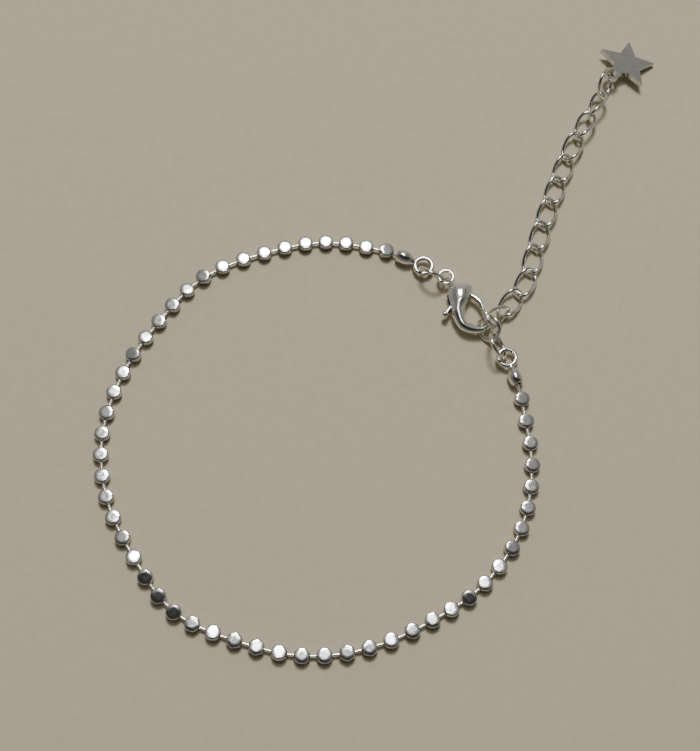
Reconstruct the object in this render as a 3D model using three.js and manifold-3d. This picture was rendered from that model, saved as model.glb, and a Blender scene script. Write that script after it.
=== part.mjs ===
// A silver bracelet that lies flat: drum beads on short bars, an end cap on each end of the string,
// jump rings, a lobster clasp fastened in the end ring of a curb extension chain, and a star charm.
// Millimetres, +Z up. The beads rest on z = 0, and the origin is under the middle of the whole piece.
import * as THREE from "three";
import { mergeVertices } from "three/addons/utils/BufferGeometryUtils.js";
import Module from "manifold-3d";

const wasm = await Module();
wasm.setup();

// Driving sizes
const LOOP_CENTRE = { x: -7.8, y: -17.4 };
const BEAD = { count: 52, radius: 1.0, faceRadius: 0.84, height: 1.2, bevel: 0.28, sides: 12 };
const BAR = { radius: 0.2, sides: 6, headRadius: 0.5, headSides: 8 };
const CAP = { height: 1.0, neckRadius: 0.42, eyeAt: 2.85, eyeRadius: 1.15, eyeWire: 0.33, sides: 12 };
const WIRE = { radius: 0.27, sides: 6, segments: 16 };
const LINK = { halfLength: 2.22, halfWidth: 1.22, twist: 0.42, wire: 0.25, count: 11 };
const CLASP = { x: 15.7, y: 23.6, height: 1.3, heading: -57, sides: 12 };
const CLASP_LOOP = { along: -0.15, across: -0.15, radius: 0.95, wire: 0.27 };
const SLOT = { from: 2.35, to: 4.9, width: 6.4, thickness: 0.9 };
const PIVOT = { along: 3.3, across: 0.3, pinRadius: 0.4, pinLength: 1.4, boreRadius: 0.5, sides: 12 };
const LEVER = { thickness: 0.7, hubRadius: 0.85, ballAlong: 4.5, ballAcross: -3.02, ballRadius: 0.48 };
const STAR = { points: 5, tipRadius: 4.25, innerRadius: 1.96, thickness: 0.7, eyeAt: 3.5, eyeRadius: 1.08 };
const STAR_HOLE = 0.64;
const STAR_PLACE = { x: 40.22, y: 59.6, heading: 226.7, pitch: 13 };
const FLOOR_GAP = 0.02;
const WELD = 1e-4;

const SILVER = { color: 0xc4c4bd, roughness: 0.25, metalness: 1 };
const POLISHED = { color: 0xb4b6ae, roughness: 0.12, metalness: 1 };

// The string's course round the loop, a row for every third bead, from the clasp's end round to the chain's
const STRING_COURSE = table(["x", "y"], [
  [7.3, 27.2],
  [-1.0, 27.9],
  [-9.2, 25.6],
  [-17.0, 21.4],
  [-22.2, 14.5],
  [-26.0, 6.9],
  [-27.6, -1.6],
  [-26.0, -9.9],
  [-21.6, -17.3],
  [-15.9, -23.7],
  [-8.2, -26.6],
  [0.1, -27.9],
  [8.2, -26.4],
  [15.7, -22.5],
  [22.0, -17.5],
  [26.4, -10.2],
  [27.6, -1.8],
  [26.1, 7.1],
]);

// Each end cap, by the middle of its eye and the way that it points
const CAPS = table(["name", "x", "y", "heading"], [
  ["end_cap_left", 12.417, 25.22, -21.5],
  ["end_cap_right", 24.0, 12.72, 113],
]);

// A cap's section, from the blind end of its hollow, round its mouth and out to the end of its neck
const CAP_SECTION = table(["radius", "along"], [
  [0, 0.66],
  [0.48, 0.5],
  [0.66, 0.1],
  [0.66, -0.35],
  [0.46, -0.85],
  [0.46, -1.12],
  [0.7, -1.12],
  [0.9, -0.7],
  [0.95, -0.1],
  [0.88, 0.5],
  [0.6, 0.98],
  [CAP.neckRadius, 1.2],
  [CAP.neckRadius, CAP.eyeAt - CAP.eyeRadius],
  [0, CAP.eyeAt - CAP.eyeRadius],
]);

// Round wire rings: a ring's level diameter points along heading, and it is rolled up about that line
const RINGS = table(["name", "radius", "x", "y", "z", "heading", "roll"], [
  ["jump_ring_left", 1.7, 13.63, 23.985, 1.77, -20.4, 117.7],
  ["jump_ring_right", 1.85, 22.66, 14.05, 1.82, -69.2, 122],
  ["hub_ring", 1.6, 21.45, 16.5, 1.53, -50, 51],
  ["star_ring", 2.0, 36.9, 55.3, 2.24, 65, 68],
]);

// The first chain link hangs from the hub ring. The rest lie along a course, rolled on edge near its end.
const FIRST_LINK = { x: 22.6, y: 18.1, z: 1.86, heading: 44, pitch: -32, roll: 50 };
const CHAIN_COURSE = table(["x", "y"], [
  [24.3, 20.7],
  [26.3, 23.9],
  [27.7, 29.5],
  [29.9, 37.5],
  [32.5, 45.3],
  [35.7, 52.1],
]);
const END_TURNS = table(["roll", "pitch"], [
  [-10, 4],
  [-30, 6],
  [-52, 6],
]);

// The clasp's body and hook, from its loop round to its tip: both edges of each section and its half-height
const CLASP_SECTIONS = table(["leftAlong", "leftAcross", "rightAlong", "rightAcross", "rise"], [
  [0.55, -0.4, 0.5, 0.2, 0.3],
  [1.19, -0.62, 1.15, 0.62, 0.62],
  [2.0, -1.25, 1.85, 1.5, 0.98],
  [2.87, -1.72, 2.56, 2.2, 1.14],
  [3.5, -1.9, 3.2, 2.1, 1.16],
  [4.0, -2.05, 3.8, 1.6, 1.12],
  [4.5, -2.2, 4.25, 0.75, 1.02],
  [5.1, -2.36, 4.95, -0.15, 0.9],
  [6.2, -2.44, 5.9, -0.8, 0.76],
  [7.3, -2.33, 6.7, -0.98, 0.66],
  [8.3, -1.6, 7.4, -0.6, 0.56],
  [8.95, -0.5, 8.05, -0.15, 0.48],
  [9.15, 0.6, 8.28, 0.55, 0.44],
  [8.6, 1.66, 8.02, 1.02, 0.4],
  [7.7, 2.07, 7.5, 1.36, 0.36],
  [6.9, 2.08, 6.9, 1.46, 0.32],
]);

// The lever's two arms: the gate that closes the hook, and the thumb arm that ends in a ball
const GATE_ARM = table(["along", "across", "half", "rise"], [
  [3.3, 0.6, 0.45, 0.34],
  [3.6, 1.25, 0.42, 0.34],
  [4.4, 1.75, 0.42, 0.36],
  [5.3, 1.95, 0.4, 0.42],
  [5.95, 1.86, 0.34, 0.38],
  [6.55, 1.64, 0.26, 0.3],
]);
const THUMB_ARM = table(["along", "across", "half", "rise"], [
  [3.45, -0.4, 0.42, 0.34],
  [3.85, -1.4, 0.38, 0.34],
  [4.15, -2.2, 0.36, 0.36],
  [4.5, -3.0, 0.32, 0.36],
]);

// Rows of numbers as objects with named columns
function table(columns, rows) {
  return rows.map((row) => Object.fromEntries(columns.map((name, i) => [name, row[i]])));
}

function radians(degrees) {
  return THREE.MathUtils.degToRad(degrees);
}

// A closed geometry as a solid that can be joined and cut
function solid(geometry) {
  const bare = geometry.clone();
  bare.deleteAttribute("normal");
  bare.deleteAttribute("uv");
  const welded = mergeVertices(bare, WELD);
  const triVerts = new Uint32Array(welded.index.array);
  const vertProperties = welded.attributes.position.array;
  return new wasm.Manifold(new wasm.Mesh({ numProp: 3, vertProperties, triVerts }));
}

function joined(solids) {
  return solids.reduce((whole, piece) => whole.add(piece));
}

function geometryOf(made) {
  const { vertProperties, triVerts } = made.getMesh();
  const geometry = new THREE.BufferGeometry();
  geometry.setAttribute("position", new THREE.BufferAttribute(vertProperties, 3));
  geometry.setIndex(new THREE.BufferAttribute(triVerts, 1));
  geometry.computeVertexNormals();
  return geometry;
}

function named(name, geometry, finish) {
  const mesh = new THREE.Mesh(geometry, new THREE.MeshStandardMaterial(finish));
  mesh.name = name;
  return mesh;
}

// Turns a piece to its heading about Z, then raises its front by pitch and rolls it about its own length
function place(mesh, { x, y, z = 0, heading = 0, pitch = 0, roll = 0 }) {
  mesh.rotation.set(radians(roll), radians(-pitch), radians(heading), "ZYX");
  mesh.position.set(x, y, z);
  return mesh;
}

// Lowers or lifts a placed piece until its lowest point is just clear of the floor
function settle(mesh) {
  mesh.updateMatrixWorld(true);
  mesh.position.z += FLOOR_GAP - new THREE.Box3().setFromObject(mesh, true).min.z;
  return mesh;
}

// A round rod between two points
function rod(from, to, radius, sides) {
  const way = new THREE.Vector3().subVectors(to, from);
  const geometry = new THREE.CylinderGeometry(radius, radius, way.length(), sides);
  const turn = new THREE.Quaternion().setFromUnitVectors(new THREE.Vector3(0, 1, 0), way.normalize());
  const middle = new THREE.Vector3().addVectors(from, to).multiplyScalar(0.5);
  return solid(geometry.applyQuaternion(turn).translate(middle.x, middle.y, middle.z));
}

// A round pin that stands upright on the clasp's pivot
function pivotPin(radius, length) {
  const pin = new THREE.CylinderGeometry(radius, radius, length, PIVOT.sides);
  return solid(pin.rotateX(Math.PI / 2).translate(PIVOT.along, PIVOT.across, 0));
}

// A closed form through oval sections, each given by its middle, its half-span to the right and its rise
function loft(sections, sides) {
  const last = sections.length - 1;
  const geometry = new THREE.CylinderGeometry(1, 1, 1, sides, last);
  const position = geometry.attributes.position;
  for (let i = 0; i < position.count; i++) {
    const { middle, span, rise } = sections[Math.round((0.5 - position.getY(i)) * last)];
    const side = position.getX(i);
    const up = position.getZ(i);
    position.setXYZ(i, middle.x + side * span.x, middle.y + side * span.y, up * rise);
  }
  return solid(geometry);
}

// Sections from rows that give the two edges
function edgedSections(rows) {
  return rows.map((row) => {
    const left = new THREE.Vector2(row.leftAlong, row.leftAcross);
    const right = new THREE.Vector2(row.rightAlong, row.rightAcross);
    const middle = new THREE.Vector2().addVectors(left, right).multiplyScalar(0.5);
    return { middle, span: right.sub(middle), rise: row.rise };
  });
}

// Sections from rows that give the middle and the half-width, square to the way between their neighbours
function armSections(rows) {
  const middles = rows.map((row) => new THREE.Vector2(row.along, row.across));
  return rows.map((row, i) => {
    const before = middles[Math.max(i - 1, 0)];
    const after = middles[Math.min(i + 1, rows.length - 1)];
    const way = new THREE.Vector2().subVectors(after, before).normalize();
    const span = new THREE.Vector2(-way.y, way.x).multiplyScalar(row.half);
    return { middle: middles[i], span, rise: row.rise };
  });
}

// One bead: a low drum with a bevelled rim, upright, with a flat of its side towards the next bead
function bead(centre, heading) {
  const { radius, faceRadius, height, bevel, sides } = BEAD;
  const section = [
    [0, 0],
    [faceRadius, 0],
    [radius, bevel],
    [radius, height - bevel],
    [faceRadius, height],
    [0, height],
  ].map(([x, y]) => new THREE.Vector2(x, y));
  const drum = new THREE.LatheGeometry(section, sides).rotateX(Math.PI / 2);
  return solid(drum.rotateZ(heading + Math.PI / sides).translate(centre.x, centre.y, 0));
}

// The middle of a cap's hollow
function capMiddle({ x, y, heading }) {
  const way = radians(heading);
  return new THREE.Vector3(x - CAP.eyeAt * Math.cos(way), y - CAP.eyeAt * Math.sin(way), CAP.height);
}

// The whole string in one body: beads, the bars between them, and a ball head in each end cap
function beadString() {
  const points = STRING_COURSE.map(({ x, y }) => new THREE.Vector3(x, y, BEAD.height / 2));
  const course = new THREE.CatmullRomCurve3(points, false, "catmullrom", 0.5);
  const steps = Array.from({ length: BEAD.count }, (_, i) => i / (BEAD.count - 1));
  const centres = steps.map((t) => course.getPoint(t));
  const beads = steps.map((t, i) => {
    const way = course.getTangent(t);
    return bead(centres[i], Math.atan2(way.y, way.x));
  });
  const heads = CAPS.map(capMiddle);
  const stops = [heads[0], ...centres, heads[1]];
  const bars = stops.slice(1).map((stop, i) => rod(stops[i], stop, BAR.radius, BAR.sides));
  const balls = heads.map(({ x, y, z }) => {
    const ball = new THREE.SphereGeometry(BAR.headRadius, BAR.headSides, BAR.headSides / 2);
    return solid(ball.translate(x, y, z));
  });
  return named("bead_string", geometryOf(joined([...beads, ...bars, ...balls])), SILVER);
}

// A hollow end cap with its eye, pointing along +X from the middle of its hollow
function endCap(row) {
  const section = CAP_SECTION.map(({ radius, along }) => new THREE.Vector2(radius, along));
  const bulb = solid(new THREE.LatheGeometry(section, CAP.sides).rotateZ(-Math.PI / 2));
  const ring = new THREE.TorusGeometry(CAP.eyeRadius, CAP.eyeWire, WIRE.sides, WIRE.segments);
  const eye = solid(ring.translate(CAP.eyeAt, 0, 0));
  const { x, y, z } = capMiddle(row);
  return place(named(row.name, geometryOf(bulb.add(eye)), POLISHED), { x, y, z, heading: row.heading });
}

function wireRing(row) {
  const ring = new THREE.TorusGeometry(row.radius, WIRE.radius, WIRE.sides, WIRE.segments);
  return place(named(row.name, ring, POLISHED), row);
}

// The course of a curb link's wire: an oval whose two sides are twisted up and down
class CurbLoop extends THREE.Curve {
  getPoint(t, target = new THREE.Vector3()) {
    const turn = 2 * Math.PI * t;
    const x = LINK.halfLength * Math.cos(turn);
    const y = LINK.halfWidth * Math.sin(turn);
    return target.set(x, y, LINK.twist * Math.sin(2 * turn));
  }
}

function curbLink(number, where) {
  const wire = new THREE.TubeGeometry(new CurbLoop(), WIRE.segments, LINK.wire, WIRE.sides, true);
  return place(named("link_" + String(number).padStart(2, "0"), wire, POLISHED), where);
}

// The extension chain: the first link on edge from the hub ring, and the others along the floor
function chain() {
  const points = CHAIN_COURSE.map(({ x, y }) => new THREE.Vector3(x, y, 0));
  const course = new THREE.CatmullRomCurve3(points);
  const lying = LINK.count - 1;
  const links = Array.from({ length: lying }, (_, i) => {
    const t = i / (lying - 1);
    const { x, y } = course.getPointAt(t);
    const way = course.getTangentAt(t);
    const heading = THREE.MathUtils.radToDeg(Math.atan2(way.y, way.x));
    const turn = END_TURNS[i - lying + END_TURNS.length];
    return settle(curbLink(i + 2, { x, y, heading, ...turn }));
  });
  return [curbLink(1, FIRST_LINK), ...links];
}

// The clasp's loop, body and hook, slotted for the lever, with the lever's pin across the slot
function claspBody() {
  const shell = loft(edgedSections(CLASP_SECTIONS), CLASP.sides);
  const ring = new THREE.TorusGeometry(CLASP_LOOP.radius, CLASP_LOOP.wire, WIRE.sides, WIRE.segments);
  const loop = solid(ring.translate(CLASP_LOOP.along, CLASP_LOOP.across, 0));
  const room = new THREE.BoxGeometry(SLOT.to - SLOT.from, SLOT.width, SLOT.thickness);
  const slot = solid(room.translate((SLOT.from + SLOT.to) / 2, 0, 0));
  const pin = pivotPin(PIVOT.pinRadius, PIVOT.pinLength);
  return named("clasp_body", geometryOf(shell.add(loop).subtract(slot).add(pin)), POLISHED);
}

// The sprung lever: a hub on the pin, the gate arm and the thumb arm
function claspLever() {
  const hub = pivotPin(LEVER.hubRadius, LEVER.thickness);
  const arms = [GATE_ARM, THUMB_ARM].map((rows) => loft(armSections(rows), CLASP.sides));
  const round = new THREE.SphereGeometry(LEVER.ballRadius, CLASP.sides, CLASP.sides / 2);
  const ball = solid(round.rotateX(Math.PI / 2).translate(LEVER.ballAlong, LEVER.ballAcross, 0));
  const bore = pivotPin(PIVOT.boreRadius, PIVOT.pinLength);
  return named("clasp_lever", geometryOf(joined([hub, ...arms, ball]).subtract(bore)), POLISHED);
}

function clasp() {
  const group = new THREE.Group();
  group.add(claspBody(), claspLever());
  return place(group, { x: CLASP.x, y: CLASP.y, z: CLASP.height, heading: CLASP.heading });
}

// A flat star, one arm of which ends in a round eye for its ring, with that arm along +X and raised
function starCharm() {
  const outline = new THREE.Shape();
  for (let i = 0; i < 2 * STAR.points; i++) {
    const turn = (Math.PI * i) / STAR.points;
    const reach = i % 2 ? STAR.innerRadius : STAR.tipRadius;
    outline.lineTo(reach * Math.cos(turn), reach * Math.sin(turn));
  }
  outline.curves.shift();
  const plate = new THREE.ExtrudeGeometry(outline, { depth: STAR.thickness, bevelEnabled: false });
  const disc = (radius, thickness) => {
    const round = new THREE.CylinderGeometry(radius, radius, thickness, CLASP.sides);
    return solid(round.rotateX(Math.PI / 2).translate(STAR.eyeAt, 0, 0));
  };
  const flat = solid(plate.translate(0, 0, -STAR.thickness / 2)).add(disc(STAR.eyeRadius, STAR.thickness));
  const pierced = flat.subtract(disc(STAR_HOLE, 2 * STAR.thickness));
  return settle(place(named("star_charm", geometryOf(pierced), POLISHED), STAR_PLACE));
}

const bracelet = new THREE.Group();
bracelet.add(beadString(), ...CAPS.map(endCap), ...RINGS.map(wireRing), clasp(), ...chain(), starCharm());
bracelet.position.set(LOOP_CENTRE.x, LOOP_CENTRE.y, 0);

export default bracelet;
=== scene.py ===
"""A silver bead bracelet laid flat in a small studio: every piece of the frame in its fine form and finish.

Sizes are in millimetres and become metres where a mesh is made. The floor is z = 0 and +Z is up.
"""

import logging
import math
from collections.abc import Sequence
from dataclasses import dataclass, field
from enum import Enum, IntEnum
from typing import Any

import bpy
import numpy as np
from mathutils import Matrix, Vector


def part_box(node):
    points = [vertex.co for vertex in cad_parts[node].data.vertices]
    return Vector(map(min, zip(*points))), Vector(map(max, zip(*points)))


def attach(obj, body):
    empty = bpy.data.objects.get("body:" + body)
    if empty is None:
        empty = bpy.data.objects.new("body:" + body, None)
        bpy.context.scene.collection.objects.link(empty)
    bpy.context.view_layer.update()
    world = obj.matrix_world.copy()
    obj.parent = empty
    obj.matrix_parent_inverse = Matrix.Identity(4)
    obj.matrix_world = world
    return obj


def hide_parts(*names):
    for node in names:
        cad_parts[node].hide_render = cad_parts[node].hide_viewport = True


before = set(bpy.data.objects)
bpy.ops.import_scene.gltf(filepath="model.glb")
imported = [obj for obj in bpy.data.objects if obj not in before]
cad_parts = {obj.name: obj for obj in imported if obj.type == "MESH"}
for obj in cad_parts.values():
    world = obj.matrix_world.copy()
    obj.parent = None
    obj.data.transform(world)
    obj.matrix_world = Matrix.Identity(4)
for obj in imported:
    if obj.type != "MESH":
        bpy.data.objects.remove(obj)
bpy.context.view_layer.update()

LOG = logging.getLogger("bracelet")
MM = 0.001
LINK_COUNT = 11
# The middle of the bead loop in the frame: the layout's places are measured from it.
LOOP_CENTRE = np.array([-7.8, -17.4, 0.0])
# Gives a straight tube's first side a direction.
OFF_COURSE = np.array([1e-4, 2e-4, 3e-4])
RANDOM = np.random.default_rng(11)
Colour = tuple[float, float, float, float]
Range = tuple[float, float]
Form = tuple[np.ndarray, list[tuple[int, ...]]]


class Body(Enum):
    """The moving bodies of the frame."""

    BRACELET = "bracelet"
    LEVER = "lever"


class Slot(Enum):
    """The record's material slots."""

    BEADS = "bead_silver"
    WIRE = "polished_silver"
    CLASP = "clasp_silver"
    STAR = "star_silver"


class BeadFinish(IntEnum):
    """The order of the bead string's finishes."""

    SIDE = 0
    FACE = 1
    BAR = 2


class MixSocket(IntEnum):
    """The numbers of a Mix node's sockets for colours."""

    FACTOR = 0
    RESULT = 2
    LOW = 6
    HIGH = 7


# Shader maths


class Wire:
    """A node's output socket, with the arithmetic that the finishes use."""

    def __init__(self, tree: "NodeTree", socket: bpy.types.NodeSocket | None) -> None:
        """Keeps the socket and the tree that it belongs to."""
        self.tree = tree
        self.socket = socket

    def _math(self, operation: str, first: Any, second: Any) -> "Wire":
        """Adds one Math node.

        Args:
            operation: The Math node's operation.
            first: Its first value or wire.
            second: Its second value or wire.

        Returns:
            The node's result.
        """
        return self.tree.add("ShaderNodeMath", {"operation": operation}, {0: first, 1: second})

    def __add__(self, other: Any) -> "Wire":
        """Self + other."""
        return self._math("ADD", self, other)

    def __radd__(self, other: Any) -> "Wire":
        """Other + self."""
        return self._math("ADD", other, self)

    def __sub__(self, other: Any) -> "Wire":
        """Self - other."""
        return self._math("SUBTRACT", self, other)

    def __rsub__(self, other: Any) -> "Wire":
        """Other - self."""
        return self._math("SUBTRACT", other, self)

    def __mul__(self, other: Any) -> "Wire":
        """Self * other."""
        return self._math("MULTIPLY", self, other)

    def __rmul__(self, other: Any) -> "Wire":
        """Other * self."""
        return self._math("MULTIPLY", other, self)

    def step(self, low: float, high: float) -> "Wire":
        """A smooth rise from 0 at low to 1 at high."""
        sockets = {"Value": self, "From Min": low, "From Max": high}
        return self.tree.add("ShaderNodeMapRange", {"interpolation_type": "SMOOTHSTEP"}, sockets)


class NodeTree:
    """The nodes of one material or of the world."""

    def __init__(self, owner: bpy.types.Material | bpy.types.World) -> None:
        """Clears the owner's nodes and starts afresh.

        Args:
            owner: The material or the world.
        """
        owner.use_nodes = True
        self.tree = owner.node_tree
        self.tree.nodes.clear()

    def add(
        self, kind: str, settings: dict[str, Any], sockets: dict[str | int, Any], output: str | int = 0
    ) -> Wire:
        """Adds any node.

        Args:
            kind: The node's type.
            settings: The node's own settings.
            sockets: A value or a wire for each input that is set.
            output: Which output is wanted.

        Returns:
            That output.
        """
        node = self.tree.nodes.new(kind)
        for name, value in settings.items():
            setattr(node, name, value)
        for name, value in sockets.items():
            if isinstance(value, Wire):
                self.tree.links.new(value.socket, node.inputs[name])
            else:
                node.inputs[name].default_value = value
        return Wire(self, node.outputs[output] if len(node.outputs) else None)

    def noise(self, where: Wire, scale: float, detail: float = 3.0, distortion: float = 0.0) -> Wire:
        """Noise from 0 to 1 over the surface."""
        sockets = {"Vector": where, "Scale": scale, "Detail": detail, "Distortion": distortion}
        return self.add("ShaderNodeTexNoise", {}, sockets)

    def place(self) -> Wire:
        """The surface's own coordinates, in metres."""
        return self.add("ShaderNodeTexCoord", {}, {}, "Object")

    def mix(self, factor: Wire, low: Colour, high: Colour) -> Wire:
        """A colour between low and high."""
        sockets = {MixSocket.FACTOR: factor, MixSocket.LOW: low, MixSocket.HIGH: high}
        return self.add("ShaderNodeMix", {"data_type": "RGBA"}, sockets, MixSocket.RESULT)


@dataclass(frozen=True)
class MetalFinish:
    """A silver surface: its tint, its gloss, and the fine marks on it.

    Grain sizes and bump heights are in millimetres. A range is where a soft step starts and ends.
    """

    name: str
    dull: Colour
    bright: Colour
    smooth: float
    rough: float
    cloud: float
    grain: float
    grain_height: float
    scratch: float = 0.0
    cloud_share: float = 0.55
    cloud_detail: float = 2.0
    grain_share: float = 0.45
    grain_detail: float = 4.0
    grain_swirl: float = 0.4
    grain_lift: float = 0.35
    worn_range: Range = (0.36, 0.64)
    line_turns: tuple[float, float] = (0.5, 1.9)
    line_stretch: float = 4.0
    line_spacing: float = 3.0
    line_detail: float = 2.0
    line_lift: float = 0.12
    line_range: Range = (0.56, 0.66)
    scratched_range: Range = (0.1, 1.1)
    bump: float = 0.7

    def made(self) -> bpy.types.Material:
        """Builds the material.

        Returns:
            The material.
        """
        material = bpy.data.materials.new(self.name)
        tree = NodeTree(material)
        where = tree.place()
        cloud = tree.noise(where, 1 / (self.cloud * MM), self.cloud_detail)
        grain = tree.noise(where, 1 / (self.grain * MM), self.grain_detail, self.grain_swirl)
        worn = (self.cloud_share * cloud + self.grain_share * grain).step(*self.worn_range)
        height = cloud + grain * self.grain_lift
        if self.scratch:
            lines = self._scratches(tree, where)
            worn = (worn + lines * self.scratch).step(*self.scratched_range)
            height = height + lines * self.line_lift
        relief = {"Strength": self.bump, "Distance": self.grain_height * MM, "Height": height}
        sockets = {
            "Base Color": tree.mix(worn, self.bright, self.dull),
            "Metallic": 1.0,
            "Roughness": self.smooth + worn * (self.rough - self.smooth),
            "Normal": tree.add("ShaderNodeBump", {}, relief),
        }
        shader = tree.add("ShaderNodeBsdfPrincipled", {}, sockets)
        tree.add("ShaderNodeOutputMaterial", {}, {"Surface": shader})
        return material

    def _scratches(self, tree: NodeTree, where: Wire) -> Wire:
        """Fine crossing lines.

        Args:
            tree: The material's nodes.
            where: The surface's coordinates.

        Returns:
            1 on a line, up to 2 where lines cross, and 0 between them.
        """
        lines = []
        for turn in self.line_turns:
            sockets = {"Vector": where, "Rotation": (0.0, 0.0, turn), "Scale": (1.0, self.line_stretch, 1.0)}
            drawn = tree.add("ShaderNodeMapping", {}, sockets)
            streaks = tree.noise(drawn, 1 / (self.line_spacing * self.grain * MM), self.line_detail)
            lines.append(streaks.step(*self.line_range))
        return lines[0] + lines[1]


@dataclass(frozen=True)
class FloorFinish:
    """A plain pale matt floor with a very faint grain, its size in millimetres."""

    name: str = "pale_floor"
    light: Colour = (0.60, 0.53, 0.385, 1.0)
    shade: Colour = (0.575, 0.505, 0.365, 1.0)
    grain: float = 1.2
    patch_range: Range = (0.3, 0.7)
    roughness: float = 0.9
    specular: float = 0.1

    def made(self) -> bpy.types.Material:
        """Builds the material.

        Returns:
            The material.
        """
        material = bpy.data.materials.new(self.name)
        tree = NodeTree(material)
        grain = tree.noise(tree.place(), 1 / (self.grain * MM))
        sockets = {
            "Base Color": tree.mix(grain.step(*self.patch_range), self.shade, self.light),
            "Roughness": self.roughness,
            "Specular IOR Level": self.specular,
        }
        shader = tree.add("ShaderNodeBsdfPrincipled", {}, sockets)
        tree.add("ShaderNodeOutputMaterial", {}, {"Surface": shader})
        return material


# Painted shade: the bead sides' base colour is kept far darker than the faces' silver, standing in for the
# shade that falls on the bead walls near the floor.
BEAD_SIDE_PAINTED_SHADE = MetalFinish(
    "bead_side_painted_shade",
    dull=(0.36, 0.36, 0.37, 1.0),
    bright=(0.58, 0.58, 0.58, 1.0),
    smooth=0.07,
    rough=0.18,
    cloud=0.8,
    grain=0.25,
    grain_height=0.003,
)
BEAD_FACE = MetalFinish(
    "bead_face",
    dull=(0.74, 0.75, 0.75, 1.0),
    bright=(0.93, 0.94, 0.93, 1.0),
    smooth=0.09,
    rough=0.19,
    cloud=0.34,
    grain=0.14,
    grain_height=0.0065,
    scratch=0.4,
)
BEAD_BAR = MetalFinish(
    "bead_bar",
    dull=(0.74, 0.74, 0.71, 1.0),
    bright=(0.90, 0.90, 0.87, 1.0),
    smooth=0.1,
    rough=0.2,
    cloud=0.8,
    grain=0.25,
    grain_height=0.003,
)
RING_WIRE = MetalFinish(
    "ring_wire",
    dull=(0.62, 0.62, 0.58, 1.0),
    bright=(0.82, 0.82, 0.78, 1.0),
    smooth=0.06,
    rough=0.16,
    cloud=0.9,
    grain=0.3,
    grain_height=0.004,
)
CLASP_METAL = MetalFinish(
    "clasp_metal",
    dull=(0.74, 0.76, 0.69, 1.0),
    bright=(0.90, 0.91, 0.84, 1.0),
    smooth=0.06,
    rough=0.14,
    cloud=1.6,
    grain=0.35,
    grain_height=0.004,
)
STAR_METAL = MetalFinish(
    "star_metal",
    dull=(0.54, 0.55, 0.52, 1.0),
    bright=(0.66, 0.66, 0.63, 1.0),
    smooth=0.1,
    rough=0.2,
    cloud=1.5,
    grain=0.3,
    grain_height=0.004,
    scratch=0.2,
)


# Meshes


@dataclass
class Skin:
    """Points and faces for one mesh, collected in millimetres.

    Each face has the number of its finish.
    """

    points: list[np.ndarray] = field(default_factory=list)
    faces: list[tuple[int, ...]] = field(default_factory=list)
    finishes: list[int] = field(default_factory=list)
    count: int = 0

    def add(
        self, points: np.ndarray, faces: Sequence[Sequence[int]], finish: Sequence[int] | int = 0
    ) -> None:
        """Adds a closed form.

        Args:
            points: Its points, one in each row.
            faces: Its faces, by the numbers of their points.
            finish: The number of each face's finish, or one number for all.
        """
        self.points.append(points)
        self.faces.extend(tuple(int(i) + self.count for i in face) for face in faces)
        self.finishes.extend([int(finish)] * len(faces) if isinstance(finish, int) else finish)
        self.count += len(points)

    def made(
        self, name: str, finishes: Sequence[bpy.types.Material], sharp: float = 40.0
    ) -> bpy.types.Object:
        """Makes the object, smooth except along edges sharper than an angle.

        Args:
            name: The object's name.
            finishes: Its materials, in order.
            sharp: The angle in degrees.

        Returns:
            The new object, in metres.
        """
        mesh = bpy.data.meshes.new(name)
        mesh.from_pydata((np.vstack(self.points) * MM).tolist(), [], self.faces)
        for material in finishes:
            mesh.materials.append(material)
        mesh.polygons.foreach_set("material_index", self.finishes)
        mesh.update()
        smooth(mesh, sharp)
        thing = bpy.data.objects.new(name, mesh)
        bpy.context.scene.collection.objects.link(thing)
        return thing


def smooth(mesh: bpy.types.Mesh, sharp: float) -> None:
    """Shades a mesh smooth, but for edges sharper than an angle in degrees."""
    mesh.polygons.foreach_set("use_smooth", [True] * len(mesh.polygons))
    mesh.set_sharp_from_angle(angle=math.radians(sharp))


def ring_faces(
    rows: int, sides: int, round_rows: bool = False, capped: bool = True
) -> list[tuple[int, ...]]:
    """The faces of a tube of rows, each of so many sides, seen from outside.

    Args:
        rows: How many rows of points.
        sides: How many points in a row.
        round_rows: Whether the last row joins the first.
        capped: Whether the two ends are closed by flat faces.

    Returns:
        The faces.
    """
    faces: list[tuple[int, ...]] = []
    for row in range(rows if round_rows else rows - 1):
        here, after = row * sides, (row + 1) % rows * sides
        for side in range(sides):
            beside = (side + 1) % sides
            faces.append((here + side, here + beside, after + beside, after + side))
    if capped and not round_rows:
        faces.append(tuple(range(sides))[::-1])
        faces.append(tuple((rows - 1) * sides + side for side in range(sides)))
    return faces


def circle(sides: int) -> np.ndarray:
    """Points of a unit circle, a row each."""
    turn = np.arange(sides) * 2 * np.pi / sides
    return np.stack([np.cos(turn), np.sin(turn)], axis=1)


def unit(way: np.ndarray) -> np.ndarray:
    """A vector, or each row of an array, at length 1."""
    return way / np.linalg.norm(way, axis=-1, keepdims=True)


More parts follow.
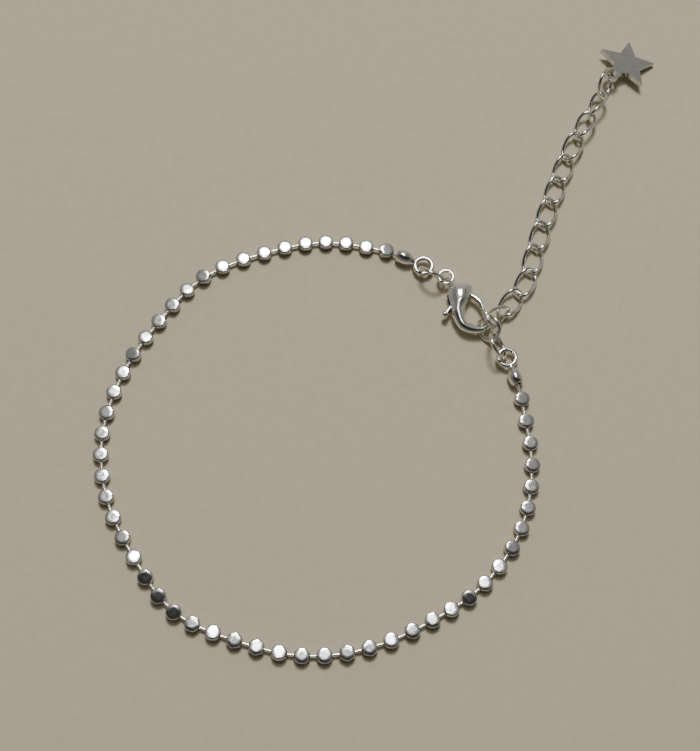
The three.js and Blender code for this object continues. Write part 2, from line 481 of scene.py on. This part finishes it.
def tube(course: np.ndarray, radius: float | np.ndarray, sides: int, closed: bool) -> Form:
    """A round tube along a course of points.

    Args:
        course: The points, a row each.
        radius: Its radius, or one for each point.
        sides: How many sides it has.
        closed: Whether the course is a loop.

    Returns:
        Its points and faces.
    """
    if closed:
        way = unit(np.roll(course, -1, axis=0) - np.roll(course, 1, axis=0))
    else:
        way = unit(np.gradient(course, axis=0))
    middle = course.mean(axis=0)
    first = unit(np.cross(way[0], course[0] - middle + OFF_COURSE))
    across = [first]
    for step in way[1:]:
        carried = across[-1] - step * np.dot(across[-1], step)
        across.append(unit(carried))
    side = np.array(across)
    if closed:
        carried = unit(side[-1] - way[0] * np.dot(side[-1], way[0]))
        slip = math.atan2(np.dot(np.cross(carried, side[0]), way[0]), np.dot(carried, side[0]))
        turn = np.linspace(0, slip, len(course), endpoint=False)[:, None]
        side = side * np.cos(turn) + np.cross(way, side) * np.sin(turn)
    up = np.cross(way, side)
    reach = np.broadcast_to(np.asarray(radius, float), (len(course),))[:, None, None]
    rim = circle(sides)
    points = course[:, None] + reach * (rim[None, :, :1] * side[:, None] + rim[None, :, 1:] * up[:, None])
    return points.reshape(-1, 3), ring_faces(len(course), sides, closed)


def turned(section: np.ndarray, sides: int) -> Form:
    """A form turned about the Z axis from a section that starts and ends on the axis.

    Args:
        section: Rows of radius and height, from the axis round to the axis, rising on its outside.
        sides: How many sides it has.

    Returns:
        Its points and faces.
    """
    rim = circle(sides)
    rows = section[1:-1]
    heights = np.broadcast_to(rows[:, None, 1:], (len(rows), sides, 1))
    points = np.concatenate([rows[:, None, :1] * rim[None], heights], axis=2)
    points = np.vstack([points.reshape(-1, 3), [0, 0, section[0, 1]], [0, 0, section[-1, 1]]])
    faces = ring_faces(len(rows), sides, capped=False)
    start, end = len(points) - 2, len(points) - 1
    top = (len(rows) - 1) * sides
    faces += [(start, (side + 1) % sides, side) for side in range(sides)]
    faces += [(end, top + side, top + (side + 1) % sides) for side in range(sides)]
    return points, faces


def ball(radius: float, rows: int, sides: int) -> Form:
    """A ball about the origin.

    Args:
        radius: Its radius.
        rows: How many rows of points from pole to pole.
        sides: How many points in a row.

    Returns:
        Its points and faces.
    """
    lean = np.linspace(-np.pi / 2, np.pi / 2, rows)
    return turned(radius * np.column_stack([np.cos(lean), np.sin(lean)]), sides)


def through(rows: np.ndarray, steps: int) -> np.ndarray:
    """Rows of numbers joined by smooth curves.

    Args:
        rows: The rows to pass through.
        steps: How many new rows for each old one.

    Returns:
        The finer rows, the last one included.
    """
    ends = np.vstack([2 * rows[0] - rows[1], rows, 2 * rows[-1] - rows[-2]])
    fine = []
    for i in range(len(rows) - 1):
        before, start, end, after = ends[i : i + 4]
        t = (np.arange(steps) / steps)[:, None]
        lean_in, lean_out = 0.5 * (end - before), 0.5 * (after - start)
        rise = 3 * (end - start) - 2 * lean_in - lean_out
        curve = start + lean_in * t + rise * t**2 + (lean_in + lean_out - 2 * (end - start)) * t**3
        fine.append(curve)
    return np.vstack([*fine, rows[-1:]])


def carved(base: bpy.types.Object, other: bpy.types.Object, operation: str) -> None:
    """Joins or cuts two closed objects, and removes the second.

    Args:
        base: The object that stays.
        other: The object that joins or cuts it.
        operation: UNION or DIFFERENCE.
    """
    change = base.modifiers.new("carve", "BOOLEAN")
    change.operation = operation
    change.solver = "EXACT"
    change.object = other
    settled(base)
    bpy.data.objects.remove(other)


def settled(thing: bpy.types.Object) -> None:
    """Turns an object's modifiers into its mesh.

    Args:
        thing: The object.
    """
    view = bpy.context.evaluated_depsgraph_get()
    mesh = bpy.data.meshes.new_from_object(thing.evaluated_get(view))
    thing.modifiers.clear()
    thing.data = mesh


def handed_over(thing: bpy.types.Object, node: str, body: Body) -> None:
    """Puts a finished piece in the place of its CAD node.

    Args:
        thing: The finished piece.
        node: The node that it stands for.
        body: The body that carries it.
    """
    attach(thing, body.value)
    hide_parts(node)
    LOG.info("%s: %d faces for %s", thing.name, len(thing.data.polygons), node)


def heading_matrix(x: float, y: float, z: float, heading: float, pitch: float = 0.0) -> np.ndarray:
    """A place in the bracelet's layout: turned about Z, then with its front raised.

    Args:
        x: Across, from the middle of the bead loop.
        y: Away from the viewer.
        z: Up from the floor.
        heading: The turn in degrees.
        pitch: How far its front is raised, in degrees.

    Returns:
        A 4 by 4 matrix in millimetres.
    """
    turn = Matrix.Rotation(math.radians(heading), 4, "Z") @ Matrix.Rotation(math.radians(-pitch), 4, "Y")
    return np.array(Matrix.Translation(Vector((x, y, z)) + Vector(LOOP_CENTRE)) @ turn)


def moved(points: np.ndarray, matrix: np.ndarray) -> np.ndarray:
    """Points carried by a 4 by 4 matrix."""
    return points @ matrix[:3, :3].T + matrix[:3, 3]


def grounded(points: np.ndarray) -> np.ndarray:
    """Points lifted, where any is under the floor, until none is."""
    return points + [0, 0, max(0.0, -points[:, 2].min())]


def node_place(node: str) -> np.ndarray:
    """Where a CAD loop lies, from its own points: the long way is X and the thin way is Z.

    Args:
        node: The CAD node.

    Returns:
        A 4 by 4 matrix in millimetres.
    """
    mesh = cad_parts[node].data
    points = np.empty(len(mesh.vertices) * 3)
    mesh.vertices.foreach_get("co", points)
    points = np.unique(np.round(points.reshape(-1, 3) / MM, decimals=4), axis=0)
    middle = points.mean(axis=0)
    spread = np.cov((points - middle).T)
    axes = np.linalg.eigh(spread)[1][:, ::-1]
    axes[:, 2] = np.cross(axes[:, 0], axes[:, 1])
    place = np.eye(4)
    place[:3, :3] = axes
    place[:3, 3] = middle
    return place


# The pieces


class Lean(Enum):
    """How a bead lies: degrees that its face leans away from the viewer, and to the right."""

    FLAT = (0.0, 0.0)
    BRIGHT = (6.0, 0.5)
    LIGHT = (2.5, 0.0)
    DIM_LEFT = (-1.0, -3.5)
    DIM_RIGHT = (-3.0, 4.5)
    SHADED = (-2.0, 2.5)
    DARK_LEFT = (-2.0, -7.5)
    DARK_RIGHT = (-1.0, 7.5)
    DARK_NEAR = (-7.5, 0.0)


@dataclass
class BeadString:
    """The string: drum beads with frosted faces and polished sides darkened by painted shade, on short bars,
    each a little out of true.

    Rows of course are places that the string passes through, and leans and six_sided go by a bead's number.
    """

    count: int = 52
    radius: float = 1.0
    face: float = 0.85
    height: float = 1.2
    sides: int = 40
    bar: float = 0.2
    bar_sides: int = 14
    bar_waist: tuple[float, ...] = (1.15, 1.15, 1.05, 0.97, 1.05, 1.15, 1.15)
    head: float = 0.5
    head_rows: int = 13
    head_sides: int = 20
    face_middle: float = 0.4
    face_edge: float = 0.02
    lip: float = 0.012
    slope: float = 0.11
    shoulder: float = 0.2
    side_from: float = 0.3
    side_row: float = 0.1
    side_fullness: float = 0.02
    corners: int = 6
    corner_depth: float = 0.035
    corner_trace: float = 0.008
    corner_turn: float = 6.0
    floor_gap: float = 0.005
    jitter: float = 0.8
    course: tuple[tuple[float, float], ...] = (
        (7.3, 27.2), (-1.0, 27.9), (-9.2, 25.6), (-17.0, 21.4), (-22.2, 14.5), (-26.0, 6.9),
        (-27.6, -1.6), (-26.0, -9.9), (-21.6, -17.3), (-15.9, -23.7), (-8.2, -26.6), (0.1, -27.9),
        (8.2, -26.4), (15.7, -22.5), (22.0, -17.5), (26.4, -10.2), (27.6, -1.8), (26.1, 7.1),
    )
    leans: dict[int, Lean] = field(
        default_factory=lambda: {
            1: Lean.DARK_RIGHT, 10: Lean.DARK_LEFT, 11: Lean.BRIGHT, 12: Lean.DIM_LEFT, 13: Lean.DIM_LEFT,
            14: Lean.BRIGHT, 15: Lean.DARK_LEFT, 16: Lean.LIGHT, 18: Lean.DIM_LEFT, 20: Lean.LIGHT,
            21: Lean.LIGHT, 23: Lean.LIGHT, 24: Lean.DIM_LEFT, 25: Lean.BRIGHT, 26: Lean.DARK_NEAR,
            27: Lean.DARK_NEAR, 28: Lean.DARK_NEAR, 30: Lean.BRIGHT, 33: Lean.BRIGHT, 36: Lean.DIM_LEFT,
            41: Lean.BRIGHT, 42: Lean.DARK_NEAR, 44: Lean.BRIGHT, 45: Lean.DIM_RIGHT, 46: Lean.SHADED,
            47: Lean.SHADED, 48: Lean.SHADED, 49: Lean.DIM_RIGHT, 50: Lean.SHADED, 51: Lean.DIM_RIGHT,
            52: Lean.DIM_RIGHT,
        }
    )
    six_sided: tuple[int, ...] = (29, 31, 32, 36)

    def build(self, heads: Sequence[np.ndarray]) -> None:
        """Builds the string and puts it in the place of its node.

        Args:
            heads: The middles of the two end caps, where the string's ball heads are.
        """
        skin = Skin()
        points = np.column_stack([self.course, np.full(len(self.course), self.height / 2)])
        steps = (self.count - 1) // (len(self.course) - 1)
        centres = through(points, steps) + LOOP_CENTRE
        for number, centre in enumerate(centres, start=1):
            self._bead(skin, number, centre)
        stops = np.vstack([heads[0], centres, heads[1]])
        for start, end in zip(stops, stops[1:]):
            self._bar(skin, start, end)
        for middle in heads:
            self._head(skin, middle)
        finishes = [finish.made() for finish in (BEAD_SIDE_PAINTED_SHADE, BEAD_FACE, BEAD_BAR)]
        thing = skin.made("bead_string_fine", finishes)
        handed_over(thing, "bead_string", Body.BRACELET)

    def _section(self) -> np.ndarray:
        """A bead's section: flat faces, a soft rim and a slightly full side.

        Returns:
            Rows of radius and height, from the middle of the underside to the middle of the face.
        """
        half = self.height / 2
        rise = np.array(
            [
                [0.0, half],
                [self.face_middle, half],
                [self.face - self.face_edge, half],
                [self.face + self.lip, half - self.lip],
                [self.face + self.slope, half - self.slope],
                [self.radius - self.side_fullness, half - self.shoulder],
                [self.radius, half - self.side_from],
                [self.radius, self.side_row],
            ]
        )
        lower = rise * np.array([1, -1])
        return np.vstack([lower, rise[::-1]])

    def _bead(self, skin: Skin, number: int, centre: np.ndarray) -> None:
        """Adds one bead.

        Args:
            skin: The string's mesh.
            number: The bead's number from the clasp's end.
            centre: Its middle.
        """
        points, faces = turned(self._section(), self.sides)
        turn = np.arctan2(points[:, 1], points[:, 0])
        depth = self.corner_depth if number in self.six_sided else self.corner_trace
        reach = np.hypot(points[:, 0], points[:, 1])
        wave = np.cos(self.corners * turn + RANDOM.uniform(0, self.corner_turn))
        swell = 1 + depth * wave * (reach > self.face / 2)
        points[:, :2] *= swell[:, None]
        lean = np.array(self.leans.get(number, Lean.FLAT).value)
        away, right = lean + RANDOM.normal(0, self.jitter, 2)
        tilt = Matrix.Rotation(math.radians(-away), 3, "X") @ Matrix.Rotation(math.radians(right), 3, "Y")
        points = points @ np.array(tilt).T
        place = centre.copy()
        place[2] = -points[:, 2].min() + self.floor_gap
        reaches = [np.mean(np.hypot(*points[list(face)][:, :2].T)) for face in faces]
        border = self.face - self.face_edge
        # Faces outside the flat face take the side finish, whose dark colour is painted shade.
        finishes = [int(BeadFinish.FACE if reach < border else BeadFinish.SIDE) for reach in reaches]
        skin.add(points + place, faces, finishes)

    def _bar(self, skin: Skin, start: np.ndarray, end: np.ndarray) -> None:
        """Adds the bar between two stops, a little waisted.

        Args:
            skin: The string's mesh.
            start: The middle of the bead or ball head that it leaves.
            end: The middle of the next one.
        """
        course = start + np.linspace(0, 1, len(self.bar_waist))[:, None] * (end - start)
        waist = self.bar * np.array(self.bar_waist)
        skin.add(*tube(course, waist, self.bar_sides, False), BeadFinish.BAR)

    def _head(self, skin: Skin, middle: np.ndarray) -> None:
        """Adds a ball head about its middle."""
        points, faces = ball(self.head, self.head_rows, self.head_sides)
        skin.add(points + middle, faces, BeadFinish.BAR)


@dataclass
class EndCap:
    """A hollow turned bulb with a neck and a round eye in one piece.

    Its x and y are those of the eye's middle. Rows of section hold a radius and a distance towards the eye.
    """

    node: str
    x: float
    y: float
    heading: float
    height: float = 1.0
    eye_at: float = 2.85
    eye_radius: float = 1.15
    eye_wire: float = 0.33
    eye_steps: int = 64
    eye_sides: int = 18
    sides: int = 40
    sharp: float = 40.0
    section: tuple[tuple[float, float], ...] = (
        (0.0, 0.66), (0.48, 0.5), (0.66, 0.1), (0.66, -0.35), (0.46, -0.85), (0.46, -1.06),
        (0.52, -1.12), (0.66, -1.12), (0.74, -1.04), (0.9, -0.7), (0.95, -0.1), (0.88, 0.5), (0.64, 0.96),
        (0.48, 1.16), (0.42, 1.32), (0.42, 1.7), (0.0, 1.7),
    )

    def place(self) -> np.ndarray:
        """Where the middle of the bulb is, with +X towards the eye.

        Returns:
            A 4 by 4 matrix in millimetres.
        """
        way = math.radians(self.heading)
        x, y = self.x - self.eye_at * math.cos(way), self.y - self.eye_at * math.sin(way)
        return heading_matrix(x, y, self.height, self.heading)

    def build(self, finish: bpy.types.Material) -> None:
        """Builds the cap and puts it in the place of its node.

        Args:
            finish: Its material.
        """
        points, faces = turned(np.array(self.section), self.sides)
        bulb = Skin()
        bulb.add(moved(points[:, [2, 0, 1]], self.place()), faces)
        cap = bulb.made(self.node + "_fine", [finish])
        rim = circle(self.eye_steps) * self.eye_radius + [self.eye_at, 0]
        course = np.column_stack([rim, np.zeros(self.eye_steps)])
        eye = Skin()
        eye.add(*tube(moved(course, self.place()), self.eye_wire, self.eye_sides, True))
        carved(cap, eye.made("eye", [finish]), "UNION")
        smooth(cap.data, self.sharp)
        handed_over(cap, self.node, Body.BRACELET)


@dataclass
class WireRing:
    """A round wire ring, closed but for the hair line where its ends meet."""

    node: str
    radius: float
    wire: float = 0.27
    split: float = 0.05
    split_at: float = 1.0
    steps: int = 97
    sides: int = 18

    def build(self, finish: bpy.types.Material) -> None:
        """Builds the ring and puts it in the place of its node.

        Args:
            finish: Its material.
        """
        half = self.split / self.radius / 2
        turn = np.linspace(half, 2 * np.pi - half, self.steps) + self.split_at
        course = self.radius * np.column_stack([np.cos(turn), np.sin(turn), np.zeros(self.steps)])
        course = moved(course, node_place(self.node))
        points, faces = tube(course, self.wire, self.sides, False)
        skin = Skin()
        skin.add(grounded(points), faces)
        handed_over(skin.made(self.node + "_fine", [finish]), self.node, Body.BRACELET)


@dataclass
class CurbLink:
    """One twisted oval link of the extension chain."""

    node: str
    half_length: float = 2.22
    half_width: float = 1.22
    twist: float = 0.42
    wire: float = 0.25
    steps: int = 80
    sides: int = 16

    def build(self, finish: bpy.types.Material) -> None:
        """Builds the link and puts it in the place of its node.

        Args:
            finish: Its material.
        """
        turn = np.arange(self.steps) * 2 * np.pi / self.steps
        along, across = self.half_length * np.cos(turn), self.half_width * np.sin(turn)
        course = np.column_stack([along, across, self.twist * np.sin(2 * turn)])
        points, faces = tube(moved(course, node_place(self.node)), self.wire, self.sides, True)
        skin = Skin()
        skin.add(grounded(points), faces)
        handed_over(skin.made(self.node + "_fine", [finish]), self.node, Body.BRACELET)


@dataclass
class LobsterClasp:
    """The clasp: loop, domed body and hook in one casting, and the sprung lever on its rivet.

    Rows of edges hold the left edge's x and y, the right edge's x and y, and half the height. Rows of gate
    and thumb hold the middle's x and y, half the width and half the height.
    """

    x: float = 15.7
    y: float = 23.6
    height: float = 1.3
    heading: float = -57.0
    sides: int = 32
    section_steps: int = 5
    end_leans: tuple[float, ...] = (0.5, 1.0, 1.35)
    sharp: float = 35.0
    loop_at: tuple[float, float] = (-0.15, -0.15)
    loop_radius: float = 0.95
    loop_wire: float = 0.27
    loop_steps: int = 56
    loop_sides: int = 16
    slot_from: float = 2.35
    slot_to: float = 4.9
    slot_width: float = 6.4
    slot_height: float = 0.9
    pivot: tuple[float, float] = (3.3, 0.3)
    pin: float = 0.4
    pin_hold: float = 0.4
    bore: float = 0.5
    post_sides: int = 36
    hub: float = 0.85
    plate: float = 0.7
    ball_at: tuple[float, float] = (4.5, -3.02)
    ball: float = 0.48
    ball_rows: int = 17
    ball_sides: int = 28
    edges: tuple[tuple[float, float, float, float, float], ...] = (
        (0.55, -0.4, 0.5, 0.2, 0.3), (1.19, -0.62, 1.15, 0.62, 0.62), (2.0, -1.25, 1.85, 1.5, 0.98),
        (2.87, -1.72, 2.56, 2.2, 1.14), (3.5, -1.9, 3.2, 2.1, 1.16), (4.0, -2.05, 3.8, 1.6, 1.12),
        (4.5, -2.2, 4.25, 0.75, 1.02), (5.1, -2.36, 4.95, -0.15, 0.9), (6.2, -2.44, 5.9, -0.8, 0.76),
        (7.3, -2.33, 6.7, -0.98, 0.66), (8.3, -1.6, 7.4, -0.6, 0.56), (8.95, -0.5, 8.05, -0.15, 0.48),
        (9.15, 0.6, 8.28, 0.55, 0.44), (8.6, 1.66, 8.02, 1.02, 0.4), (7.7, 2.07, 7.5, 1.36, 0.36),
        (6.9, 2.08, 6.9, 1.46, 0.32),
    )
    gate: tuple[tuple[float, float, float, float], ...] = (
        (3.3, 0.6, 0.45, 0.34), (3.6, 1.25, 0.42, 0.34), (4.4, 1.75, 0.42, 0.36),
        (5.3, 1.95, 0.4, 0.42), (5.95, 1.86, 0.34, 0.38), (6.55, 1.64, 0.26, 0.3),
    )
    thumb: tuple[tuple[float, float, float, float], ...] = (
        (3.45, -0.4, 0.42, 0.34), (3.85, -1.4, 0.38, 0.34), (4.15, -2.2, 0.36, 0.36), (4.5, -3.0, 0.32, 0.36),
    )

    def place(self) -> np.ndarray:
        """Where the clasp lies, with +X from its loop to its hook."""
        return heading_matrix(self.x, self.y, self.height, self.heading)

    def build(self, finish: bpy.types.Material) -> None:
        """Builds body and lever and puts them in the place of their nodes.

        Args:
            finish: Their material.
        """
        body = self._body(finish)
        handed_over(body, "clasp_body", Body.BRACELET)
        lever = self._lever(finish)
        handed_over(lever, "clasp_lever", Body.LEVER)

    def _body(self, finish: bpy.types.Material) -> bpy.types.Object:
        """The casting with its slot and rivet.

        Args:
            finish: Its material.

        Returns:
            The object.
        """
        rows = through(np.array(self.edges), self.section_steps)
        left = np.column_stack([rows[:, 0:2], np.zeros(len(rows))])
        right = np.column_stack([rows[:, 2:4], np.zeros(len(rows))])
        casting = self._loft((left + right) / 2, (right - left) / 2, rows[:, 4], "clasp_body_fine", finish)
        rim = circle(self.loop_steps) * self.loop_radius + self.loop_at
        loop = tube(np.column_stack([rim, np.zeros(self.loop_steps)]), self.loop_wire, self.loop_sides, True)
        carved(casting, self._shape("loop", loop, finish), "UNION")
        low = np.array([self.slot_from, -self.slot_width / 2, -self.slot_height / 2])
        high = np.array([self.slot_to, self.slot_width / 2, self.slot_height / 2])
        corners = np.array([[x, y, z] for z in (0, 1) for x, y in ((0, 0), (1, 0), (1, 1), (0, 1))])
        room = (low + corners * (high - low), ring_faces(2, 4))
        carved(casting, self._shape("slot", room, finish), "DIFFERENCE")
        rivet = self._post(self.pin, self.slot_height + self.pin_hold)
        carved(casting, self._shape("rivet", rivet, finish), "UNION")
        smooth(casting.data, self.sharp)
        return casting

    def _lever(self, finish: bpy.types.Material) -> bpy.types.Object:
        """The hub, both arms and the thumb ball, bored for the rivet.

        Args:
            finish: Its material.

        Returns:
            The object.
        """
        lever = self._shape("clasp_lever_fine", self._post(self.hub, self.plate), finish)
        for number, arm in enumerate((self.gate, self.thumb)):
            rows = through(np.array(arm), self.section_steps)
            middle = np.column_stack([rows[:, :2], np.zeros(len(rows))])
            way = unit(np.gradient(middle, axis=0))
            across = np.column_stack([-way[:, 1], way[:, 0], way[:, 2]]) * rows[:, 2:3]
            carved(lever, self._loft(middle, across, rows[:, 3], f"arm_{number}", finish), "UNION")
        points, faces = ball(self.ball, self.ball_rows, self.ball_sides)
        carved(lever, self._shape("ball", (points + [*self.ball_at, 0], faces), finish), "UNION")
        carved(lever, self._shape("bore", self._post(self.bore, 2 * self.plate), finish), "DIFFERENCE")
        smooth(lever.data, self.sharp)
        return lever

    def _shape(self, name: str, form: Form, finish: bpy.types.Material) -> bpy.types.Object:
        """A closed form of the clasp as an object in its place.

        Args:
            name: The object's name.
            form: Its points and faces.
            finish: Its material.

        Returns:
            The object.
        """
        skin = Skin()
        skin.add(moved(form[0], self.place()), form[1])
        return skin.made(name, [finish])

    def _post(self, radius: float, length: float) -> Form:
        """An upright round post on the pivot.

        Args:
            radius: Its radius.
            length: Its length.

        Returns:
            Its points and faces.
        """
        section = np.array([[0, -length / 2], [radius, -length / 2], [radius, length / 2], [0, length / 2]])
        points, faces = turned(section, self.post_sides)
        return points + [*self.pivot, 0], faces

    def _loft(
        self, middle: np.ndarray, across: np.ndarray, rise: np.ndarray, name: str, finish: bpy.types.Material
    ) -> bpy.types.Object:
        """A closed form through oval sections, rounded off at both ends.

        Args:
            middle: The middle of each section.
            across: Half of its width, as a vector to the right.
            rise: Half of its height.
            name: The object's name.
            finish: Its material.

        Returns:
            The object.
        """
        rim = circle(self.sides)
        points = middle[:, None] + rim[None, :, :1] * across[:, None]
        points = points + rim[None, :, 1:] * rise[:, None, None] * np.array([0, 0, 1])
        ends = []
        for row, beside in ((0, 1), (-1, -2)):
            out = unit(middle[row] - middle[beside]) * rise[row]
            spokes = points[row] - middle[row]
            ends.append([spokes * math.cos(a) + middle[row] + out * math.sin(a) for a in self.end_leans])
        rows = np.array([*ends[0][::-1], *points, *ends[1]])
        return self._shape(name, (rows.reshape(-1, 3), ring_faces(len(rows), self.sides)), finish)


@dataclass
class StarCharm:
    """A flat five-pointed star with softened edges, one arm of which ends in a round eye."""

    x: float = 40.22
    y: float = 59.6
    height: float = 1.1
    heading: float = 226.7
    pitch: float = 13.0
    points: int = 5
    tip: float = 4.25
    inner: float = 1.96
    thickness: float = 0.7
    eye_at: float = 3.5
    eye: float = 1.08
    hole: float = 0.64
    eye_steps: int = 48
    edge: float = 0.09
    edge_steps: int = 3
    edge_angle: float = 50.0
    sharp: float = 30.0

    def build(self, finish: bpy.types.Material) -> None:
        """Builds the star and puts it in the place of its node.

        Args:
            finish: Its material.
        """
        star = self._plate("star_charm_fine", self._outline(), self.thickness, finish)
        eye = circle(self.eye_steps) * self.eye + [self.eye_at, 0]
        carved(star, self._plate("eye", eye, self.thickness, finish), "UNION")
        hole = circle(self.eye_steps) * self.hole + [self.eye_at, 0]
        carved(star, self._plate("hole", hole, 2 * self.thickness, finish), "DIFFERENCE")
        bevel = star.modifiers.new("soft_edges", "BEVEL")
        bevel.width = self.edge * MM
        bevel.segments = self.edge_steps
        bevel.limit_method = "ANGLE"
        bevel.angle_limit = math.radians(self.edge_angle)
        settled(star)
        smooth(star.data, self.sharp)
        flat = (self.inner * MM) ** 2
        star.data.polygons.foreach_set("use_smooth", [face.area < flat for face in star.data.polygons])
        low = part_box("star_charm")[0]
        lift = low.z - min(corner.co.z for corner in star.data.vertices)
        star.data.transform(Matrix.Translation((0, 0, lift)))
        handed_over(star, "star_charm", Body.BRACELET)

    def _outline(self) -> np.ndarray:
        """The star's corners, with an arm along +X.

        Returns:
            Rows of x and y.
        """
        turn = np.arange(2 * self.points) * np.pi / self.points
        reach = np.where(np.arange(2 * self.points) % 2, self.inner, self.tip)
        return reach[:, None] * np.column_stack([np.cos(turn), np.sin(turn)])

    def _plate(
        self, name: str, outline: np.ndarray, thickness: float, finish: bpy.types.Material
    ) -> bpy.types.Object:
        """A flat plate of an outline, in the star's place.

        Args:
            name: The object's name.
            outline: Its corners, a row each.
            thickness: Its thickness.
            finish: Its material.

        Returns:
            The object.
        """
        count = len(outline)
        flat = np.column_stack([outline, np.full(count, -thickness / 2)])
        points = np.vstack([flat, flat + [0, 0, thickness]])
        place = heading_matrix(self.x, self.y, self.height, self.heading, self.pitch)
        skin = Skin()
        skin.add(moved(points, place), ring_faces(2, count))
        return skin.made(name, [finish])


# The studio


@dataclass(frozen=True)
class Panel:
    """A soft light panel that faces the middle of the bracelet, with its place and size in metres."""

    name: str
    where: tuple[float, float, float]
    size: tuple[float, float]
    power: float

    def hang(self) -> None:
        """Hangs the panel."""
        data = bpy.data.lights.new(self.name, "AREA")
        data.shape = "RECTANGLE"
        data.size, data.size_y = self.size
        data.energy = self.power
        panel = bpy.data.objects.new(self.name, data)
        panel.location = self.where
        panel.rotation_euler = (-Vector(self.where)).to_track_quat("-Z", "Y").to_euler()
        bpy.context.scene.collection.objects.link(panel)


@dataclass(frozen=True)
class Room:
    """The dim room that the metal mirrors: dark overhead, with a lighter far wall and one soft light place.

    A range is where a soft step starts and ends, along one axis of the direction that is looked in. The light
    place's range is in degrees from its middle.
    """

    tint: Colour = (1.0, 0.98, 0.93, 1.0)
    walls: float = 0.16
    ceiling_dip: float = 0.13
    ceiling_range: Range = (0.45, 0.8)
    far_wall: float = 0.27
    far_range: Range = (-0.06, 0.16)
    side_dip: float = 0.12
    side_range: Range = (0.24, 0.42)
    glow: float = 0.12
    glow_toward: tuple[float, float, float] = (-30.0, 50.0, 160.0)
    glow_range: Range = (14.0, 5.0)

    def light(self) -> None:
        """Makes the room the scene's world."""
        world = bpy.data.worlds.new("room")
        bpy.context.scene.world = world
        tree = NodeTree(world)
        way = tree.add("ShaderNodeTexCoord", {}, {}, "Generated")
        across, ahead, up = (tree.add("ShaderNodeSeparateXYZ", {}, {0: way}, axis) for axis in range(3))
        aside = tree.add("ShaderNodeMath", {"operation": "ABSOLUTE"}, {0: across}).step(*self.side_range)
        walls = self.walls - up.step(*self.ceiling_range) * self.ceiling_dip
        level = walls + ahead.step(*self.far_range) * (self.far_wall - aside * self.side_dip)
        level = level + self._glow(tree, way) * self.glow
        shade = tree.add("ShaderNodeBackground", {}, {"Color": self.tint, "Strength": level})
        tree.add("ShaderNodeOutputWorld", {}, {"Surface": shade})

    def _glow(self, tree: NodeTree, way: Wire) -> Wire:
        """The soft round light place overhead.

        Args:
            tree: The world's nodes.
            way: The direction that is looked in.

        Returns:
            1 in its middle, falling to 0.
        """
        sockets = {0: way, 1: Vector(self.glow_toward).normalized()}
        near = tree.add("ShaderNodeVectorMath", {"operation": "DOT_PRODUCT"}, sockets, "Value")
        return near.step(*(math.cos(math.radians(angle)) for angle in self.glow_range))


@dataclass
class Studio:
    """A plain pale floor, soft light from a high far panel and from overhead, and the camera.

    The camera's place is in millimetres from the middle of the bead loop. The floor's size and the nearest
    distance that the camera sees are in metres.
    """

    camera_at: tuple[float, float, float] = (3.542, -53.121, 161.955)
    tilt: float = 21.0
    roll: float = 4.0
    focal: float = 63.28
    sensor: float = 36.0
    nearest: float = 0.001
    floor_size: float = 8.0
    panels: tuple[Panel, ...] = (
        Panel("far_panel", where=(-0.03, 0.41, 0.80), size=(0.23, 0.21), power=5.6),
        Panel("top_panel", where=(-0.01, 0.17, 0.90), size=(0.24, 0.11), power=0.62),
    )

    def build(self) -> None:
        """Sets the stage."""
        self._camera()
        self._floor()
        Room().light()
        for panel in self.panels:
            panel.hang()

    def _camera(self) -> None:
        """Makes the camera, looking down over the near side."""
        tilt, roll = math.radians(self.tilt), math.radians(self.roll)
        right = Vector((1, 0, 0))
        down = Vector((0, -math.cos(tilt), -math.sin(tilt)))
        ahead = Vector((0, math.sin(tilt), -math.cos(tilt)))
        across = right * math.cos(roll) - down * math.sin(roll)
        up = -(right * math.sin(roll) + down * math.cos(roll))
        data = bpy.data.cameras.new("camera")
        data.lens = self.focal
        data.sensor_width = self.sensor
        data.clip_start = self.nearest
        camera = bpy.data.objects.new("camera", data)
        turn = Matrix((across, up, -ahead)).transposed().to_4x4()
        where = (Vector(self.camera_at) + Vector(LOOP_CENTRE)) * MM
        camera.matrix_world = Matrix.Translation(where) @ turn
        bpy.context.scene.collection.objects.link(camera)
        bpy.context.scene.camera = camera

    def _floor(self) -> None:
        """Makes the floor."""
        half = self.floor_size / 2
        mesh = bpy.data.meshes.new("floor")
        corners = [(-half, -half, 0), (half, -half, 0), (half, half, 0), (-half, half, 0)]
        mesh.from_pydata(corners, [], [(0, 1, 2, 3)])
        mesh.materials.append(FloorFinish().made())
        floor = bpy.data.objects.new("floor", mesh)
        bpy.context.scene.collection.objects.link(floor)


def main() -> None:
    """Builds the bracelet piece by piece on its stage."""
    logging.basicConfig(level=logging.INFO, format="%(name)s: %(message)s")
    Studio().build()
    wire = RING_WIRE.made()
    caps = (
        EndCap("end_cap_left", x=12.417, y=25.22, heading=-21.5),
        EndCap("end_cap_right", x=24.0, y=12.72, heading=113.0),
    )
    for cap in caps:
        cap.build(wire)
    BeadString().build([cap.place()[:3, 3] for cap in caps])
    rings = (
        WireRing("jump_ring_left", radius=1.7, split_at=0.6),
        WireRing("jump_ring_right", radius=1.85, split_at=2.2),
        WireRing("hub_ring", radius=1.6, split_at=3.4),
        WireRing("star_ring", radius=2.0, split_at=0.9),
    )
    for ring in rings:
        ring.build(wire)
    for number in range(1, LINK_COUNT + 1):
        CurbLink(f"link_{number:02d}").build(wire)
    LobsterClasp().build(CLASP_METAL.made())
    StarCharm().build(STAR_METAL.made())


if __name__ == "__main__":
    main()
